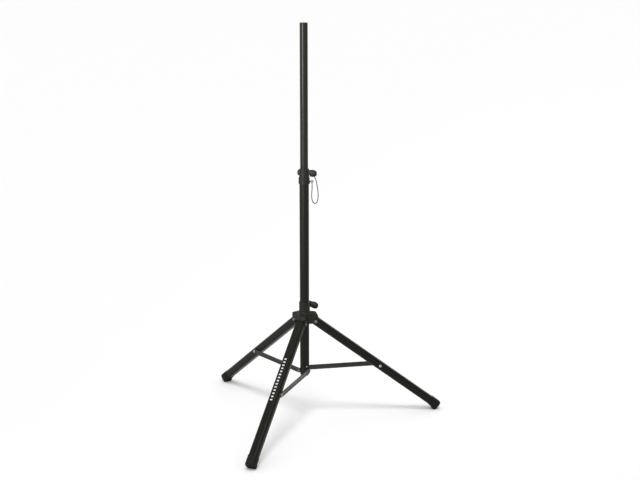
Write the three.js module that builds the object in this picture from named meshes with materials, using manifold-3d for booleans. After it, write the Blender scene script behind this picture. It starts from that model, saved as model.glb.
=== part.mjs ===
// Speaker tripod stand: a telescoping column on a folding tripod with strut braces.
// Millimetres and degrees, +Z up. The column is built on the Z axis with the floor at z = 0,
// and at the end the whole stand is moved so that the origin is the middle of its footprint.
import * as THREE from 'three';
import { mergeVertices } from 'three/addons/utils/BufferGeometryUtils.js';
import Module from 'manifold-3d';

const manifoldLibrary = await Module();
manifoldLibrary.setup();

// ---- Driving dimensions ---------------------------------------------------------------

const gap = 0.3;                   // room left between pieces that touch or slide
const roundSides = 28;             // sides of a tube
const smallSides = 12;             // sides of a pin, rivet or hole

const mastDiameter = 35;           // the speaker socket's pole size
const mastWall = 1.8;
const mastTop = 1791;              // top of the end plug, mast fully raised
const mastOverlap = 211;           // how far the raised mast still reaches into the lower tube
const mastTravel = 600;            // how far the mast can be lowered
const lockHolePitch = 50;
const plugCap = 3;                 // the end plug's cap on the mast
const plugDepth = 18;              // how deep the plug sits in the mast
const shoeCap = 8;                 // the guide shoe's rim under the mast
const shoeDepth = 20;

const bushRoom = 1.5;              // between the mast and the lower tube's bore
const lowerTubeWall = 2;
const lowerTubeBottom = 240;
const lowerTubeTop = 1119;
const bushLength = 50;             // the bush in the lower tube's top end
const flangeHeight = 2;            // the bush's flange, on the end of the lower tube

const neckWall = 3.9;              // collar around the mast
const neckRise = 39;               // from the lower tube's end to the collar's top
const bellWall = 3.2;              // collar around the lower tube
const bellHeight = 24;
const bellDrop = 3;                // the bell's shoulder, below the lower tube's end

const pinDrop = 17.4;              // locking pin, below the lower tube's end
const pinAzimuth = 5;
const pinRadius = 3;
const pinStandOff = 3;             // push that locks the pin into the mast
const pinBossRise = 0.7;
const eyeRadius = 4.9;             // middle of the eye's wire
const eyeWireRadius = 1.6;

const legWidth = 43;               // across the leg
const legHeight = 38;              // from its top face to its underside
const legWall = 2;
const legCorner = 13;
const legSlope = 37.44;            // below the horizontal, legs open
const legAzimuths = { front: -111, right: 9, left: 129 };
const pivotHeight = 462;
const footRise = 16.4;             // height of the middle of the leg's end
const pivotPinRadius = 3.8;
const pivotHeadRadius = 7;
const pivotHeadHeight = 2.6;
const spacerWall = 2.7;            // tube inside the leg around its pivot pin
const earWall = 3;
const earRadius = 12;
const coreWall = 5.6;              // hub wall between the column bush and a leg's pocket

const bootWall = 1.6;              // rubber boot around the leg's end
const bootLength = 44;
const bootEnd = 5;
const soleDepth = 5;               // extra rubber under the boot
const soleLength = 22;

const sleeveRise = 89;             // the hub's top, above the leg pivots
const hubDrop = 10;                // the hub's bottom, below them
const shoulderRise = 38;           // the top of the hub's three arms, above them
const sleeveWall = 1.7;
const bushWall = 1.3;

const braceHeight = 22;
const braceThickness = 4;
const braceStation = 379.1;        // from the leg's pivot to the brace's rivet, along the leg
const braceRootRadius = 10;        // how far out from the column's axis the brace is pinned
const rivetRadius = 2.9;
const rivetHeadRadius = 6.5;
const rivetHeadHeight = 2.4;
const washerRadius = 7;
const baseDepth = 38;              // base fitting, below the lower tube's end
const baseStem = 20;               // base fitting, inside the lower tube
const rootBossRadius = 8.5;

const smallRivetRadius = 2;        // rivets of the collar and the base fitting
const smallHeadRadius = 4;
const smallHeadHeight = 1.6;

const padRadius = 6.2;             // pressure pad of a clamp screw
const padTravel = 1.25;            // how far one turn of the screw backs it off
const screwRadius = 4;
const bossRadius = 10.5;
const handleLength = 89;
const handleHeight = 24;
const handleThickness = 16;
const handleBevel = 3;
const handleBarShift = 23.5;       // from the boss's face to the middle of the cross bar
const socketRadius = 12.5;         // the handle's hub, around the screw

const cableDiameter = 4;
const eyeletDrop = 20;             // how far below level the eyelet's barrel points
const eyeletWidth = 7.5;           // radius of its ring
const ferruleLength = 12;
const ferruleDrop = 19.5;          // the ferrule's top, below the pin's axis

// ---- Sizes that follow ----------------------------------------------------------------

const mastRadius = mastDiameter / 2;
const lowerBoreRadius = mastRadius + bushRoom;
const lowerTubeRadius = lowerBoreRadius + lowerTubeWall;
const mastBoreRadius = mastRadius - mastWall;
const mastTubeTop = mastTop - plugCap;
const mastBottom = lowerTubeTop - mastOverlap;
const slope = THREE.MathUtils.degToRad(legSlope);
const neckBoreRadius = mastRadius + gap;
const neckRadius = neckBoreRadius + neckWall;
const bellBoreRadius = lowerTubeRadius + gap;
const bellRadius = bellBoreRadius + bellWall;
const neckTop = lowerTubeTop + neckRise;
const bellTop = lowerTubeTop - bellDrop;
const bellBottom = bellTop - bellHeight;
const pinHeight = lowerTubeTop - pinDrop;
const pinBossFace = bellRadius + pinBossRise;
const hubBoreRadius = lowerTubeRadius + gap + bushWall + gap;
const sleeveRadius = hubBoreRadius + sleeveWall;
const hubTop = pivotHeight + sleeveRise;
const hubBottom = pivotHeight - hubDrop;
const hubShoulder = pivotHeight + shoulderRise;
const pocketRadius = legHeight / 2 + gap;
const pivotRadius = hubBoreRadius + coreWall + pocketRadius;
const earInside = legWidth / 2 + gap;
const earOutside = earInside + earWall;
const legLength = (pivotHeight - footRise) / Math.sin(slope);
const braceInside = Math.max(legWidth / 2 + bootWall, lowerTubeRadius) + 3 * gap;
const braceOutside = braceInside + braceThickness;
const braceRootHeight = lowerTubeBottom - braceHeight / 2;
const braceTipRadius = pivotRadius + braceStation * Math.cos(slope);
const braceTipHeight = pivotHeight - braceStation * Math.sin(slope);
const baseBottom = lowerTubeBottom - baseDepth;

// A clamp screw: a T handle on a stud that presses a pad on the tube inside.
const collarClamp = {
  name: 'collar', azimuth: 75, height: lowerTubeTop + 12, tilt: 2,
  tubeRadius: mastRadius, padEnd: neckRadius, bossFace: neckRadius + 4.9, handleRoom: 4.9,
};
const hubClamp = {
  name: 'hub', azimuth: 69, height: pivotHeight + 65, tilt: 12,
  tubeRadius: lowerTubeRadius, padEnd: sleeveRadius + 0.6, bossFace: sleeveRadius + 9.8, handleRoom: 2,
};

// ---- Materials ------------------------------------------------------------------------

function paint(color, roughness, metalness) {
  return new THREE.MeshStandardMaterial({ color, roughness, metalness });
}
const blackPaint = paint(0x23231f, 0.42, 0.35);
const blackPlastic = paint(0x2b2a27, 0.55, 0);
const blackRubber = paint(0x1d1d1c, 0.85, 0);
const plainSteel = paint(0xa8a8a4, 0.35, 1);
const paleNylon = paint(0xcfccc2, 0.6, 0);
const coatedCable = paint(0x5b5560, 0.45, 0);

// ---- Solids ---------------------------------------------------------------------------

function toSolid(geometry) {
  const bare = geometry.clone();
  bare.deleteAttribute('normal');
  bare.deleteAttribute('uv');
  const merged = mergeVertices(bare, 1e-4);
  const corners = merged.index.array;
  const triangles = [];
  for (let i = 0; i < corners.length; i += 3) {
    const [a, b, c] = [corners[i], corners[i + 1], corners[i + 2]];
    if (a !== b && b !== c && c !== a) {
      triangles.push(a, b, c);
    }
  }
  return new manifoldLibrary.Manifold(new manifoldLibrary.Mesh({
    numProp: 3,
    vertProperties: new Float32Array(merged.attributes.position.array),
    triVerts: new Uint32Array(triangles),
  }));
}

function toGeometry(solid) {
  const mesh = solid.getMesh();
  const geometry = new THREE.BufferGeometry();
  geometry.setAttribute('position', new THREE.BufferAttribute(mesh.vertProperties, 3));
  geometry.setIndex(new THREE.BufferAttribute(mesh.triVerts, 1));
  geometry.computeVertexNormals();
  return geometry;
}

function join(first, ...others) {
  return toGeometry(others.reduce((solid, other) => solid.add(toSolid(other)), toSolid(first)));
}

function cut(first, ...tools) {
  return toGeometry(tools.reduce((solid, tool) => solid.subtract(toSolid(tool)), toSolid(first)));
}

function common(first, second) {
  return toGeometry(toSolid(first).intersect(toSolid(second)));
}

// Turned pieces: the outline is a list of [radius, distance along the axis].
function turned(outline, sides = smallSides) {
  const points = outline.map(([radius, along]) => new THREE.Vector2(radius, along));
  return new THREE.LatheGeometry(points, sides);
}
const turnedOnX = (outline, sides) => turned(outline, sides).rotateZ(-Math.PI / 2);
const turnedOnY = (outline, sides) => turned(outline, sides);
const turnedOnZ = (outline, sides) => turned(outline, sides).rotateX(Math.PI / 2);

function rodOutline(radius, start, end) {
  return [[0, start], [radius, start], [radius, end], [0, end]];
}

function tubeOutline(outer, inner, start, end) {
  return [[inner, start], [outer, start], [outer, end], [inner, end], [inner, start]];
}

// A rivet's outline: a shank with a low domed head at its far end.
function headedOutline(shank, head, height, start, end) {
  return [
    [0, start], [shank, start], [shank, end], [head, end],
    [head, end + height * 0.45], [head * 0.72, end + height * 0.85], [0, end + height],
  ];
}

// A flat outline in the X-Z plane, thickened along Y from one side to the other.
function plate(shape, fromY, toY, curveSegments = 5) {
  const options = { depth: toY - fromY, bevelEnabled: false, curveSegments };
  return new THREE.ExtrudeGeometry(shape, options).rotateX(Math.PI / 2).translate(0, toY, 0);
}

function block(fromX, toX, fromY, toY, fromZ, toZ) {
  return new THREE.BoxGeometry(toX - fromX, toY - fromY, toZ - fromZ)
    .translate((fromX + toX) / 2, (fromY + toY) / 2, (fromZ + toZ) / 2);
}

function turnedAbout(geometry, azimuth, height = 0) {
  return geometry.clone().rotateZ(THREE.MathUtils.degToRad(azimuth)).translate(0, 0, height);
}

// ---- Assembly helpers -----------------------------------------------------------------

const stand = new THREE.Group();

function add(parent, name, geometry, material) {
  const mesh = new THREE.Mesh(toGeometry(toSolid(geometry)), material);
  mesh.name = name;
  parent.add(mesh);
  return mesh;
}

// A group turned to an azimuth: X points out from the column, Y to the anticlockwise side.
function spokeGroup(azimuth, height = 0) {
  const group = new THREE.Group();
  group.rotation.z = THREE.MathUtils.degToRad(azimuth);
  group.position.z = height;
  stand.add(group);
  return group;
}

// ---- Column: mast, lower tube and their bushes ----------------------------------------

const collarRivetAzimuths = { left: 160, rear: 100 };
const collarRivetHeight = lowerTubeTop - 20;
const baseRivetAzimuths = { front: -66, rear: 114 };
const baseRivetHeight = lowerTubeBottom + 8;

// The rivets of the collar and the base fitting.
function smallRivet(start, face) {
  return turnedOnX(headedOutline(smallRivetRadius, smallHeadRadius, smallHeadHeight, start, face));
}

function radialHole(radius, azimuth, height, from, to) {
  return turnedAbout(turnedOnX(rodOutline(radius, from, to)), azimuth, height);
}

function buildMast() {
  const lockHoles = [];
  for (let drop = 0; drop <= mastTravel; drop += lockHolePitch) {
    lockHoles.push(radialHole(pinRadius + gap, pinAzimuth, pinHeight + drop, 0, mastRadius + 5));
  }
  const tube = turnedOnZ(tubeOutline(mastRadius, mastBoreRadius, mastBottom, mastTubeTop), roundSides);
  add(stand, 'mast_tube', cut(tube, ...lockHoles), blackPaint);

  const stem = mastBoreRadius - gap;
  const top = mastTubeTop + gap;
  const plug = [
    [0, mastTubeTop - plugDepth], [stem, mastTubeTop - plugDepth], [stem, top], [mastRadius, top],
    [mastRadius, mastTop - 1], [mastRadius - 1, mastTop], [0, mastTop],
  ];
  add(stand, 'mast_top_plug', turnedOnZ(plug, roundSides), blackPlastic);

  const guide = lowerBoreRadius - gap;
  const shoeBottom = mastBottom - shoeCap;
  const shoe = [
    [0, shoeBottom], [guide - 1, shoeBottom], [guide, shoeBottom + 1], [guide, mastBottom - gap],
    [stem, mastBottom - gap], [stem, mastBottom + shoeDepth], [0, mastBottom + shoeDepth],
  ];
  add(stand, 'mast_guide_shoe', turnedOnZ(shoe, roundSides), paleNylon);
}

function buildLowerTube() {
  const tube = turnedOnZ(
    tubeOutline(lowerTubeRadius, lowerBoreRadius, lowerTubeBottom, lowerTubeTop), roundSides);
  const holes = [radialHole(pinRadius + gap, pinAzimuth, pinHeight, 0, lowerTubeRadius + 5)];
  for (const azimuth of Object.values(collarRivetAzimuths)) {
    holes.push(radialHole(smallRivetRadius + gap, azimuth, collarRivetHeight, 0, lowerTubeRadius + 5));
  }
  for (const azimuth of Object.values(baseRivetAzimuths)) {
    holes.push(radialHole(smallRivetRadius + gap, azimuth, baseRivetHeight, 0, lowerTubeRadius + 5));
  }
  add(stand, 'lower_tube', cut(tube, ...holes), blackPaint);

  const inner = neckBoreRadius;
  const outer = lowerBoreRadius - gap;
  const rim = lowerTubeRadius - 0.5;
  const seat = lowerTubeTop + gap;
  const bush = [
    [inner, seat - bushLength], [outer, seat - bushLength], [outer, seat], [rim, seat],
    [rim, seat + flangeHeight], [inner, seat + flangeHeight], [inner, seat - bushLength],
  ];
  const window = radialHole(pinRadius + gap, pinAzimuth, pinHeight, 0, lowerTubeRadius);
  add(stand, 'lower_tube_bush', cut(turnedOnZ(bush, roundSides), window), paleNylon);
}

// ---- Clamp screws ---------------------------------------------------------------------

function clampBoss(clamp) {
  const outline = [
    [0, clamp.tubeRadius], [bossRadius + 1.5, clamp.tubeRadius], [bossRadius, clamp.bossFace - 1],
    [bossRadius - 1, clamp.bossFace], [0, clamp.bossFace],
  ];
  return turnedAbout(turnedOnX(outline, 20), clamp.azimuth, clamp.height);
}

function clampHole(clamp) {
  return radialHole(padRadius + gap, clamp.azimuth, clamp.height, 0, clamp.bossFace + 5);
}

function buildClamp(clamp) {
  const group = spokeGroup(clamp.azimuth, clamp.height);
  const padStart = clamp.tubeRadius + gap;
  const padEnd = clamp.padEnd - gap;
  const tubeInside = new THREE.CylinderGeometry(padStart, padStart, 40, roundSides).rotateX(Math.PI / 2);
  const pad = turnedOnX(rodOutline(padRadius, 4, padEnd));
  add(group, `${clamp.name}_pressure_pad`, cut(pad, tubeInside), paleNylon);

  const tip = padEnd + gap;
  const insertStart = tip + padTravel + gap;
  const insert = turnedOnX(tubeOutline(padRadius, screwRadius + gap, insertStart, clamp.bossFace));
  add(group, `${clamp.name}_threaded_insert`, insert, plainSteel);

  const barMiddle = clamp.bossFace + handleBarShift;
  const screwEnd = barMiddle + 2;
  const screw = [
    [0, tip], [screwRadius - 1, tip], [screwRadius, tip + 1], [screwRadius, screwEnd], [0, screwEnd],
  ];
  add(group, `${clamp.name}_clamp_screw`, turnedOnX(screw), plainSteel);

  const start = clamp.bossFace + clamp.handleRoom;
  const back = barMiddle + handleThickness / 2;
  const socket = [
    [0, start], [socketRadius - 3.5, start], [socketRadius - 2, start + 1.5], [socketRadius, barMiddle - 4],
    [socketRadius, back - 1], [socketRadius - 2, back + 1], [0, back + 1.5],
  ];
  const half = handleLength / 2 - handleHeight / 2;
  const round = handleHeight / 2 - handleBevel;
  const bar = new THREE.Shape();
  bar.absarc(half, 0, round, -Math.PI / 2, Math.PI / 2);
  bar.absarc(-half, 0, round, Math.PI / 2, Math.PI * 1.5);
  const options = {
    depth: handleThickness - 2 * handleBevel, bevelEnabled: true, bevelSize: handleBevel,
    bevelThickness: handleBevel, bevelSegments: 2, curveSegments: 5,
  };
  const wings = new THREE.ExtrudeGeometry(bar, options)
    .rotateX(Math.PI / 2).rotateZ(-Math.PI / 2)
    .translate(barMiddle + handleThickness / 2 - handleBevel, 0, 0)
    .rotateX(THREE.MathUtils.degToRad(clamp.tilt));
  const bore = turnedOnX(rodOutline(screwRadius + gap, start - 1, screwEnd + gap));
  add(group, `${clamp.name}_handle`, cut(join(turnedOnX(socket, 20), wings), bore), blackPlastic);
}

// ---- Collar and locking pin -----------------------------------------------------------

function buildCollar() {
  const seat = lowerTubeTop + gap + flangeHeight + gap;
  const shell = [
    [bellBoreRadius, bellBottom], [bellRadius - 0.8, bellBottom], [bellRadius, bellBottom + 1.2],
    [bellRadius, bellTop], [bellRadius - 0.9, bellTop + 3.5], [neckRadius, bellTop + 8],
    [neckRadius, neckTop - 1.5], [neckRadius - 1.2, neckTop], [neckBoreRadius, neckTop],
    [neckBoreRadius, seat], [bellBoreRadius, seat], [bellBoreRadius, bellBottom],
  ];
  const pinBoss = turnedAbout(
    turnedOnX([[0, lowerTubeRadius], [7.5, lowerTubeRadius], [6.5, pinBossFace], [0, pinBossFace]]),
    pinAzimuth, pinHeight);
  const mastPath = turnedOnZ(rodOutline(neckBoreRadius, seat - 1, neckTop + 1), roundSides);
  const tubePath = turnedOnZ(rodOutline(bellBoreRadius, bellBottom - 1, seat), roundSides);
  const body = join(turnedOnZ(shell, roundSides), clampBoss(collarClamp), pinBoss);
  const holes = [mastPath, tubePath, clampHole(collarClamp)];
  holes.push(radialHole(pinRadius + gap, pinAzimuth, pinHeight, 0, bellRadius + 5));
  for (const azimuth of Object.values(collarRivetAzimuths)) {
    holes.push(radialHole(smallRivetRadius + gap, azimuth, collarRivetHeight, 0, bellRadius + 5));
  }
  add(stand, 'collar', cut(body, ...holes), blackPlastic);

  for (const [side, azimuth] of Object.entries(collarRivetAzimuths)) {
    const rivet = smallRivet(lowerTubeRadius - 1.5, bellRadius + gap);
    add(spokeGroup(azimuth, collarRivetHeight), `collar_rivet_${side}`, rivet, plainSteel);
  }
}

function buildLockingPin() {
  const group = spokeGroup(pinAzimuth, pinHeight);
  const tip = mastRadius + gap;
  const flange = pinBossFace + gap + pinStandOff;
  const eyeMiddle = flange + 1 + eyeRadius + eyeWireRadius - 0.9;
  const shank = [
    [0, tip], [1.8, tip], [pinRadius, tip + 2], [pinRadius, flange], [4.4, flange],
    [4.4, flange + 1], [2, flange + 1.6], [0, flange + 1.6],
  ];
  const eye = new THREE.TorusGeometry(eyeRadius, eyeWireRadius, 8, 20)
    .rotateX(Math.PI / 2).translate(eyeMiddle, 0, 0);
  add(group, 'locking_pin', join(turnedOnX(shank), eye), plainSteel);

  // The lanyard's end loop goes round the bottom of the eye and into a crimped ferrule.
  const wire = cableDiameter / 2;
  const crown = -eyeRadius + eyeWireRadius + gap + wire;
  const side = eyeWireRadius + gap * 2 + wire;
  const ferruleTop = -ferruleDrop;
  const loopPoints = [
    [-1.7, ferruleTop + gap], [-2.6, ferruleTop + 4], [-side - 0.6, ferruleTop + 8.5], [-side, crown - 2.6],
    [0, crown], [side, crown - 2.6], [side + 0.6, ferruleTop + 8.5], [2.6, ferruleTop + 4],
    [1.7, ferruleTop + gap],
  ].map(([y, z]) => new THREE.Vector3(eyeMiddle, y, z));
  add(group, 'lanyard_loop', cordTube(loopPoints, 20, wire * 0.75), coatedCable);

  const ferrule = new THREE.Shape();
  ferrule.absarc(0, 1.6, 2.2, 0, Math.PI);
  ferrule.absarc(0, -1.6, 2.2, Math.PI, Math.PI * 2);
  const options = { depth: ferruleLength, bevelEnabled: false, curveSegments: 4 };
  const sleeve = new THREE.ExtrudeGeometry(ferrule, options)
    .translate(eyeMiddle, 0, ferruleTop - ferruleLength);
  add(group, 'lanyard_ferrule', sleeve, plainSteel);
}

// ---- Lanyard --------------------------------------------------------------------------

// A round tube along a smooth curve through the points.
function cordTube(points, steps, radius) {
  const section = new THREE.Shape();
  section.absarc(0, 0, radius, 0, Math.PI * 2);
  const path = new THREE.CatmullRomCurve3(points, false, 'centripetal');
  const options = { steps, extrudePath: path, bevelEnabled: false, curveSegments: 4 };
  return new THREE.ExtrudeGeometry(section, options);
}

// The cable's route from the eyelet on the clamp screw to the ferrule at the pin.
const cableRoute = [
  [25, 23.3, 1124.4],
  [29.7, 22, 1122.9],
  [35.2, 21.1, 1122.2],
  [41, 20.7, 1120.8],
  [46.2, 20.7, 1117.2],
  [49.8, 20.7, 1111.4],
  [52.6, 20.2, 1103.4],
  [55.3, 19.6, 1091],
  [57.6, 18.6, 1077.6],
  [60, 17.4, 1062.2],
  [61.7, 16, 1046.7],
  [61.9, 14.6, 1031.2],
  [60.2, 12.8, 1017.6],
  [55.9, 10.4, 1006],
  [49, 8.3, 1001],
  [41.6, 6.3, 1004.6],
  [36.2, 4.9, 1014.6],
  [33.5, 3.9, 1029],
  [33.2, 3.3, 1045],
  [34.4, 3.1, 1059],
  [35, 3.05, 1069.8],
];

function buildLanyard() {
  const eyelet = spokeGroup(collarClamp.azimuth, collarClamp.height);
  const face = collarClamp.bossFace + 0.5;
  const eyeletBore = screwRadius + 2 * gap;
  const ring = turnedOnX(tubeOutline(eyeletWidth, eyeletBore, face, face + 1.6));
  const barrel = turned(rodOutline(2.1, 6.6, 19), 14).rotateZ(Math.PI).translate(face + 1.9, 0, 0);
  const tail = THREE.MathUtils.degToRad(eyeletDrop);
  const hole = turnedOnX(rodOutline(eyeletBore, face - 5, face + 9));
  const body = cut(join(ring, barrel), hole).rotateX(tail);
  add(eyelet, 'lanyard_eyelet', body, plainSteel);

  const points = cableRoute.map(([x, y, z]) => new THREE.Vector3(x, y, z));
  add(stand, 'lanyard_cable', cordTube(points, 56, cableDiameter / 2), coatedCable);
}

// ---- Hub: the sliding leg housing -----------------------------------------------------

function armShape() {
  const lip = pivotRadius + pocketRadius * Math.sin(slope) - 1.5;
  const arm = new THREE.Shape();
  arm.moveTo(0, hubBottom);
  arm.lineTo(pivotRadius - earRadius, hubBottom);
  arm.absarc(pivotRadius, pivotHeight, earRadius, -Math.PI * 0.7, 0.35);
  arm.lineTo(lip + 1, hubShoulder - 15);
  arm.quadraticCurveTo(lip + 1, hubShoulder - 4, lip - 9, hubShoulder - 2);
  arm.lineTo(0, hubShoulder + 3);
  return arm;
}

// The room a leg needs to swing from open to folded, between the two ears.
function pocketShape() {
  const pocket = new THREE.Shape();
  const reach = 120;
  const topX = pivotRadius + pocketRadius * Math.sin(slope);
  const topZ = pivotHeight + pocketRadius * Math.cos(slope);
  pocket.moveTo(topX + reach * Math.cos(slope), topZ - reach * Math.sin(slope));
  pocket.absarc(pivotRadius, pivotHeight, pocketRadius, Math.PI / 2 - slope, Math.PI);
  pocket.lineTo(pivotRadius - pocketRadius, hubBottom - 40);
  pocket.lineTo(topX + reach * Math.cos(slope), hubBottom - 40);
  return pocket;
}

function buildHub() {
  const core = [
    [0, hubBottom + 1], [pivotRadius - pocketRadius + 5, hubBottom + 1],
    [pivotRadius - pocketRadius + 5, hubShoulder - 3], [sleeveRadius + 2, hubShoulder + 4],
    [sleeveRadius, hubShoulder + 8], [sleeveRadius, hubTop - 1.2], [sleeveRadius - 1, hubTop], [0, hubTop],
  ];
  const pieces = [turnedOnZ(core, roundSides), clampBoss(hubClamp)];
  const columnPath = turnedOnZ(rodOutline(hubBoreRadius, hubBottom - 5, hubTop + 5), roundSides);
  const cuts = [columnPath, clampHole(hubClamp)];
  for (const azimuth of Object.values(legAzimuths)) {
    pieces.push(turnedAbout(plate(armShape(), -earOutside, earOutside), azimuth));
    cuts.push(turnedAbout(plate(pocketShape(), -earInside, earInside, 8), azimuth));
    const bore = turnedOnY(rodOutline(pivotPinRadius + gap, -earOutside - 5, earOutside + 5));
    cuts.push(turnedAbout(bore.translate(pivotRadius, 0, pivotHeight), azimuth));
  }
  add(stand, 'hub', cut(join(...pieces), ...cuts), blackPlastic);

  const liner = tubeOutline(hubBoreRadius - gap, lowerTubeRadius + gap, hubBottom + 2, hubTop - 1);
  const window = radialHole(padRadius + gap, hubClamp.azimuth, hubClamp.height, 0, sleeveRadius);
  add(stand, 'hub_bush', cut(turnedOnZ(liner, roundSides), window), paleNylon);
}

// ---- Legs -----------------------------------------------------------------------------

// The leg's section: a rounded rectangle, narrower from top to underside than across.
function legSection(width, height, corner) {
  const [w, h] = [width / 2, height / 2];
  const section = new THREE.Shape();
  section.absarc(h - corner, w - corner, corner, 0, Math.PI / 2);
  section.absarc(-h + corner, w - corner, corner, Math.PI / 2, Math.PI);
  section.absarc(-h + corner, -w + corner, corner, Math.PI, Math.PI * 1.5);
  section.absarc(h - corner, -w + corner, corner, Math.PI * 1.5, Math.PI * 2);
  return section;
}

// The section pushed along the leg, which runs out along X with its top face up.
function legExtrusion(section, from, to) {
  return new THREE.ExtrudeGeometry(section, { depth: to - from, bevelEnabled: false, curveSegments: 3 })
    .rotateY(Math.PI / 2).translate(from, 0, 0);
}

function buildLeg(side, azimuth) {
  const spoke = spokeGroup(azimuth);
  const leg = new THREE.Group();
  leg.position.set(pivotRadius, 0, pivotHeight);
  leg.rotation.y = slope;
  spoke.add(leg);
  leg.updateMatrix();

  const tubeEnd = legLength - bootEnd - gap;
  const section = legSection(legWidth, legHeight, legCorner);
  section.holes.push(legSection(legWidth - 2 * legWall, legHeight - 2 * legWall, legCorner - legWall));
  const roundEnd = turnedOnY(rodOutline(legHeight / 2, -legWidth, legWidth), 28);
  const rest = block(0, legLength, -legWidth, legWidth, -legHeight, legHeight);
  const tube = common(legExtrusion(section, -legHeight, tubeEnd), join(roundEnd, rest));
  const pivotHole = turnedOnY(rodOutline(pivotPinRadius + gap, -legWidth, legWidth));
  const braceHole = turnedOnY(rodOutline(rivetRadius + gap, -legWidth, legWidth));
  add(leg, `leg_${side}`, cut(tube, pivotHole, braceHole.translate(braceStation, 0, 0)), blackPaint);

  const inside = legWidth / 2 - legWall - gap;
  const spacerBore = pivotPinRadius + gap;
  const spacer = turnedOnY(tubeOutline(spacerBore + spacerWall, spacerBore, -inside, inside));
  add(leg, `leg_spacer_${side}`, spacer, plainSteel);

  const earFace = earOutside + gap;
  const headTop = earFace + pivotHeadHeight;
  const crown = pivotHeadRadius - 1.6;
  const bolt = [
    [0, -headTop], [crown, -headTop + 0.4], [pivotHeadRadius, -earFace - 1], [pivotHeadRadius, -earFace],
    [pivotPinRadius, -earFace], [pivotPinRadius, earFace], [pivotHeadRadius, earFace],
    [pivotHeadRadius, earFace + 1], [crown, headTop - 0.4], [0, headTop],
  ];
  add(leg, `leg_pivot_pin_${side}`, turnedOnY(bolt), plainSteel);

  const fit = legSection(legWidth + 2 * gap, legHeight + 2 * gap, legCorner + gap);
  const outer = legSection(legWidth + 2 * bootWall, legHeight + 2 * bootWall, legCorner + bootWall);
  const bootStart = legLength - bootLength;
  const under = legHeight / 2 + bootWall;
  const sole = new THREE.Shape();
  sole.moveTo(legLength - soleLength, -under + 4);
  sole.lineTo(legLength - soleLength + 4, -under - soleDepth);
  sole.lineTo(legLength - 2, -under - soleDepth);
  sole.lineTo(legLength, -under - soleDepth + 2);
  sole.lineTo(legLength, -under + 4);
  const soleHalf = legWidth / 2 + bootWall - 4;
  const below = block(0, 2 * legLength, -legWidth, legWidth, -200, 0);
  below.applyMatrix4(leg.matrix.clone().invert());
  const boot = cut(
    join(legExtrusion(outer, bootStart, legLength), plate(sole, -soleHalf, soleHalf)),
    legExtrusion(fit, bootStart - 5, legLength - bootEnd), below);
  add(leg, `foot_boot_${side}`, boot, blackRubber);

  const flank = legWidth / 2;
  const washerFace = braceInside - gap;
  const atStation = new THREE.Group();
  atStation.position.x = braceStation;
  leg.add(atStation);
  const washer = turnedOnY(tubeOutline(washerRadius, rivetRadius + gap, flank + gap, washerFace));
  add(atStation, `brace_washer_${side}`, washer, paleNylon);
  const rivet = headedOutline(rivetRadius, rivetHeadRadius, rivetHeadHeight, -washerFace, flank + gap);
  add(atStation, `brace_rivet_${side}`, turnedOnY(rivet).rotateX(Math.PI), plainSteel);
}

// ---- Braces and base ------------------------------------------------------------------

function buildBrace(side, azimuth) {
  const spoke = spokeGroup(azimuth);
  const brace = new THREE.Group();
  const rise = braceTipHeight - braceRootHeight;
  const run = braceTipRadius - braceRootRadius;
  const length = Math.hypot(rise, run);
  brace.position.set(braceRootRadius, 0, braceRootHeight);
  brace.rotation.y = -Math.atan2(rise, run);
  spoke.add(brace);

  const bar = new THREE.Shape();
  bar.absarc(length, 0, braceHeight / 2, -Math.PI / 2, Math.PI / 2);
  bar.absarc(0, 0, braceHeight / 2, Math.PI / 2, Math.PI * 1.5);
  for (const x of [0, length]) {
    const hole = new THREE.Path();
    hole.absarc(x, 0, rivetRadius + gap, 0, Math.PI * 2);
    bar.holes.push(hole);
  }
  add(brace, `brace_${side}`, plate(bar, braceInside, braceOutside, 6), blackPaint);

  const face = braceOutside + gap;
  const rootPin = headedOutline(rivetRadius, rivetHeadRadius, rivetHeadHeight, 7, face);
  add(brace, `brace_root_pin_${side}`, turnedOnY(rootPin), plainSteel);
  const cap = headedOutline(rivetRadius, rivetHeadRadius, rivetHeadHeight, braceInside, face);
  add(brace, `brace_rivet_head_${side}`, turnedOnY(cap).translate(length, 0, 0), plainSteel);
}

function buildBase() {
  const stem = lowerBoreRadius - gap;
  const seat = lowerTubeBottom - gap;
  const body = [
    [0, baseBottom], [lowerTubeRadius - 5, baseBottom], [lowerTubeRadius - 1, baseBottom + 6],
    [lowerTubeRadius, baseBottom + 9], [lowerTubeRadius, seat], [stem, seat], [stem, seat + baseStem],
    [stem - 1.5, seat + baseStem + 1.5], [0, seat + baseStem + 1.5],
  ];
  const pieces = [turnedOnZ(body, roundSides)];
  const holes = [];
  const bossFace = braceInside - gap;
  const bossOutline = [
    [0, 8], [rootBossRadius + 1, 8], [rootBossRadius, bossFace - 1], [rootBossRadius - 1, bossFace],
    [0, bossFace],
  ];
  for (const azimuth of Object.values(legAzimuths)) {
    const boss = turnedOnY(bossOutline, 16);
    const hole = turnedOnY(rodOutline(rivetRadius + gap, 6, bossFace + 5));
    pieces.push(turnedAbout(boss.translate(braceRootRadius, 0, braceRootHeight), azimuth));
    holes.push(turnedAbout(hole.translate(braceRootRadius, 0, braceRootHeight), azimuth));
  }
  for (const [side, azimuth] of Object.entries(baseRivetAzimuths)) {
    holes.push(radialHole(smallRivetRadius + gap, azimuth, baseRivetHeight, 10, lowerTubeRadius + 5));
    const rivet = smallRivet(11, lowerTubeRadius + gap);
    add(spokeGroup(azimuth, baseRivetHeight), `base_rivet_${side}`, rivet, plainSteel);
  }
  add(stand, 'base_fitting', cut(join(...pieces), ...holes), blackPlastic);
}

// ---- The stand ------------------------------------------------------------------------

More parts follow.
